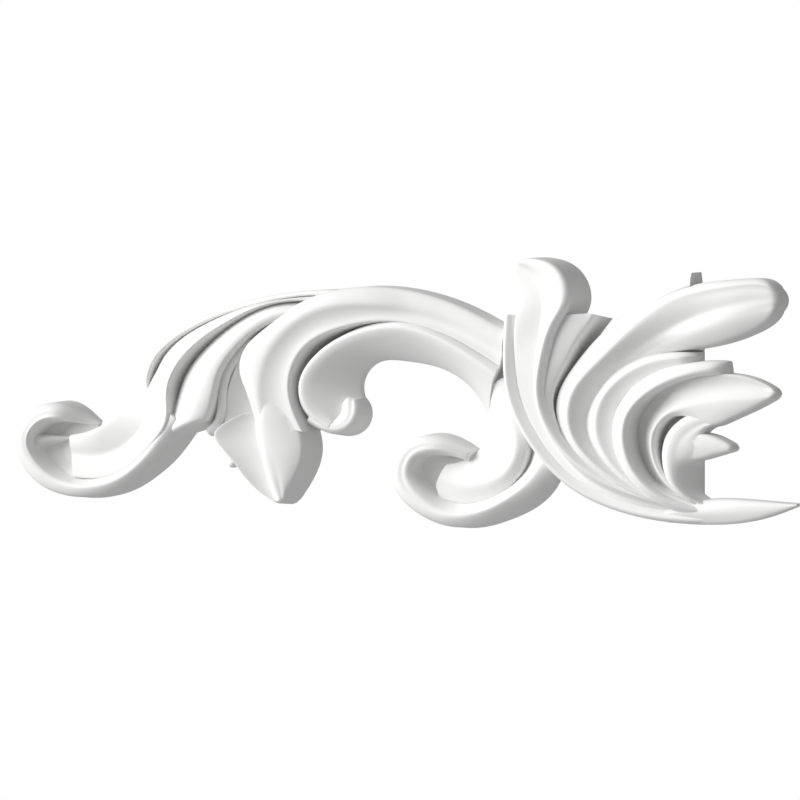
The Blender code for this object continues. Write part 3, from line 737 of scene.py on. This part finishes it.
class Value:
    """Shader number, whose arithmetic adds Math nodes."""

    def __init__(self, graph: "Graph", socket: bpy.types.NodeSocket) -> None:
        """Keep the graph and the socket that gives the number.

        Args:
            graph: Graph that the socket belongs to.
            socket: Output that gives the number.
        """
        self.graph = graph
        self.socket = socket

    def _math(self, operation: str, first: "Number", second: "Number") -> "Value":
        """One Math node.

        Args:
            operation: Its operation.
            first: First operand.
            second: Second operand.

        Returns:
            The node's result.
        """
        operands = {0: first, 1: second}
        node = self.graph.node("ShaderNodeMath", {"operation": operation}, operands)
        return Value(self.graph, node.outputs[0])

    def __add__(self, other: "Number") -> "Value":
        """Sum."""
        return self._math("ADD", self, other)

    def __radd__(self, other: "Number") -> "Value":
        """Sum with the number first."""
        return self._math("ADD", other, self)

    def __sub__(self, other: "Number") -> "Value":
        """Difference."""
        return self._math("SUBTRACT", self, other)

    def __rsub__(self, other: "Number") -> "Value":
        """Difference from a number."""
        return self._math("SUBTRACT", other, self)

    def __mul__(self, other: "Number") -> "Value":
        """Product."""
        return self._math("MULTIPLY", self, other)

    def __rmul__(self, other: "Number") -> "Value":
        """Product with the number first."""
        return self._math("MULTIPLY", other, self)


Number = Union[Value, float]


class Graph:
    """Node tree of one material or of the world."""

    def __init__(self, tree: bpy.types.NodeTree) -> None:
        """Start from an empty tree.

        Args:
            tree: Node tree that is cleared and filled.
        """
        self.tree = tree
        tree.nodes.clear()

    def node(self, kind: str, settings: dict, sockets: dict) -> bpy.types.Node:
        """Add a node.

        Args:
            kind: Node type.
            settings: Its own settings, which are set first.
            sockets: Value, or Value object or socket to link, by input.

        Returns:
            The node.
        """
        node = self.tree.nodes.new(kind)
        for key, setting in settings.items():
            setattr(node, key, setting)
        for key, given in sockets.items():
            source = given.socket if isinstance(given, Value) else given
            if isinstance(source, bpy.types.NodeSocket):
                self.tree.links.new(source, node.inputs[key])
            else:
                node.inputs[key].default_value = source
        return node


@dataclass(frozen=True)
class PrimerFinish:
    """Matt white factory primer on cast foam, with a faint bloom and a fine tooth."""

    name: str = "white_primed_foam"
    white: tuple = (0.87, 0.87, 0.865, 1.0)
    bloom: tuple = (0.835, 0.835, 0.83, 1.0)
    roughness: float = 0.5
    roughness_drift: float = 0.12
    bloom_scale: float = 22.0
    bloom_detail: float = 3.0
    noise_middle: float = 0.5
    tooth_scale: float = 900.0
    tooth_detail: float = 2.0
    tooth_strength: float = 0.06
    tooth_height: float = 0.0001

    def material(self) -> bpy.types.Material:
        """Noise drifts the white and the roughness, and a finer noise is the tooth.

        Returns:
            The finished material.
        """
        material = bpy.data.materials.new(self.name)
        material.use_nodes = True
        graph = Graph(material.node_tree)
        place = graph.node("ShaderNodeTexCoord", {}, {}).outputs["Object"]
        bloom = graph.node("ShaderNodeTexNoise", {},
                           {"Vector": place, "Scale": self.bloom_scale,
                            "Detail": self.bloom_detail})
        tooth = graph.node("ShaderNodeTexNoise", {},
                           {"Vector": place, "Scale": self.tooth_scale,
                            "Detail": self.tooth_detail})
        drift = Value(graph, bloom.outputs[0])
        colour = graph.node("ShaderNodeMix", {"data_type": "RGBA"},
                            {0: drift, 6: self.white, 7: self.bloom})
        relief = graph.node("ShaderNodeBump", {},
                            {"Strength": self.tooth_strength, "Distance": self.tooth_height,
                             "Height": tooth.outputs[0]})
        rough = self.roughness + self.roughness_drift * (drift - self.noise_middle)
        shader = graph.node("ShaderNodeBsdfPrincipled", {},
                            {"Base Color": colour.outputs[2], "Roughness": rough,
                             "Normal": relief.outputs[0]})
        graph.node("ShaderNodeOutputMaterial", {}, {"Surface": shader.outputs[0]})
        return material


@dataclass(frozen=True)
class Ornament:
    """The whole casting, with its end plane and its seat in millimetres."""

    name: str = "carved_ornament"
    groups: tuple = (Arch(), LowerScroll(), SweptLeaves(), UpperScroll(), LeafFan(),
                     CleftFloors())
    surface: CastSurface = CastSurface()
    finish: PrimerFinish = PrimerFinish()
    end_plane_x: float = 26.0
    seat_lift: float = 7.0
    cut_reach: float = 400.0
    cut_depth: float = 60.0
    sharp_angle: float = math.radians(34.0)

    def cutter(self, name: str, low: tuple, high: tuple) -> bpy.types.Object:
        """Box between two corners in millimetres, given as x, y and z.

        Args:
            name: Object name.
            low: Lowest corner.
            high: Highest corner.

        Returns:
            The box object.
        """
        bm = bmesh.new()
        bmesh.ops.create_cube(bm, size=2.0)
        centre = (np.array(low) + np.array(high)) * (MM / 2.0)
        half = (np.array(high) - np.array(low)) * (MM / 2.0)
        bmesh.ops.scale(bm, vec=half.tolist(), verts=bm.verts)
        bmesh.ops.translate(bm, vec=centre.tolist(), verts=bm.verts)
        return object_from(bm, name)

    def build(self) -> bpy.types.Object:
        """Unite the lobes, cut the back flat, step it for the moulding and dress it.

        Returns:
            The finished piece.
        """
        solids = []
        for group in self.groups:
            solids.extend(group.solids(self.surface, len(solids)))
        piece = solids[0]
        for solid in solids[1:]:
            combine(piece, solid, Solver.UNITE)
        reach = self.cut_reach
        wall = self.cutter("wall_cut", (-reach, 0.0, -reach), (reach, self.cut_depth, reach))
        combine(piece, wall, Solver.CUT)
        seat = self.cutter("seat_cut", (self.end_plane_x, -self.seat_lift, -reach),
                           (reach, self.cut_depth, reach))
        combine(piece, seat, Solver.CUT)
        piece.name = self.name
        piece.data.name = self.name
        piece.data.materials.clear()
        piece.data.materials.append(self.finish.material())
        piece.data.shade_smooth()
        piece.data.set_sharp_from_angle(angle=self.sharp_angle)
        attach(piece, "root")
        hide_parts(CAD_NODE)
        log.info("%s: %d faces", piece.name, len(piece.data.polygons))
        return piece


@dataclass(frozen=True)
class Studio:
    """Level camera turned 25 degrees, soft light from the left, and a pale floor."""

    camera_place: tuple = (0.273, -0.8429, 0.0)
    camera_turn: float = math.radians(25.0)
    lens: float = 90.0
    sensor: float = 36.0
    nearest: float = 0.01
    key_azimuth: float = math.radians(-48.0)
    key_height: float = math.radians(22.0)
    key_energy: float = 3.5
    key_softness: float = math.radians(50.0)
    fill: float = 0.3
    backdrop: tuple = (1.0, 1.0, 1.0, 1.0)
    floor_level: float = -0.9
    floor_half: float = 0.7
    floor_colour: tuple = (0.8, 0.8, 0.8, 1.0)
    floor_roughness: float = 0.7

    def camera(self) -> None:
        """Camera at the photograph's viewing angle."""
        data = bpy.data.cameras.new("studio_camera")
        data.lens = self.lens
        data.sensor_width = self.sensor
        data.clip_start = self.nearest
        obj = bpy.data.objects.new("studio_camera", data)
        obj.location = self.camera_place
        obj.rotation_euler = (math.pi / 2.0, 0.0, self.camera_turn)
        bpy.context.collection.objects.link(obj)
        bpy.context.scene.camera = obj

    def key_light(self) -> None:
        """One wide soft light from the left of the front."""
        data = bpy.data.lights.new("key_light", Lamp.SOFT_SUN.value)
        data.energy = self.key_energy
        data.angle = self.key_softness
        obj = bpy.data.objects.new("key_light", data)
        obj.rotation_euler = (math.pi / 2.0 - self.key_height, 0.0, self.key_azimuth)
        bpy.context.collection.objects.link(obj)

    def surroundings(self) -> None:
        """White backdrop for the camera, and an even fill for everything else."""
        world = bpy.data.worlds.new("studio_world")
        bpy.context.scene.world = world
        world.use_nodes = True
        graph = Graph(world.node_tree)
        path = graph.node("ShaderNodeLightPath", {}, {})
        seen = Value(graph, path.outputs["Is Camera Ray"])
        strength = self.fill + (1.0 - self.fill) * seen
        back = graph.node("ShaderNodeBackground", {},
                          {"Color": self.backdrop, "Strength": strength})
        graph.node("ShaderNodeOutputWorld", {}, {"Surface": back.outputs[0]})

    def floor(self) -> None:
        """Plain square floor below the ornament."""
        half = self.floor_half
        corners = np.array([[-half, -half], [half, -half], [half, half], [-half, half]])
        level = np.full((4, 1), self.floor_level)
        mesh = bpy.data.meshes.new("studio_floor")
        mesh.from_pydata(np.hstack([corners, level]).tolist(), [], [(0, 1, 2, 3)])
        material = bpy.data.materials.new("pale_floor")
        material.use_nodes = True
        graph = Graph(material.node_tree)
        shader = graph.node("ShaderNodeBsdfPrincipled", {},
                            {"Base Color": self.floor_colour,
                             "Roughness": self.floor_roughness})
        graph.node("ShaderNodeOutputMaterial", {}, {"Surface": shader.outputs[0]})
        mesh.materials.append(material)
        obj = bpy.data.objects.new("studio_floor", mesh)
        bpy.context.collection.objects.link(obj)

    def build(self) -> None:
        """Set the camera, the light, the surroundings and the floor."""
        self.camera()
        self.key_light()
        self.surroundings()
        self.floor()
        bpy.context.scene.view_settings.view_transform = "Standard"
        log.info("studio: camera, light, surroundings and floor")


def main() -> None:
    """Build the ornament and the studio."""
    logging.basicConfig(level=logging.INFO, format="%(name)s: %(message)s")
    Ornament().build()
    Studio().build()


if __name__ == "__main__":
    main()
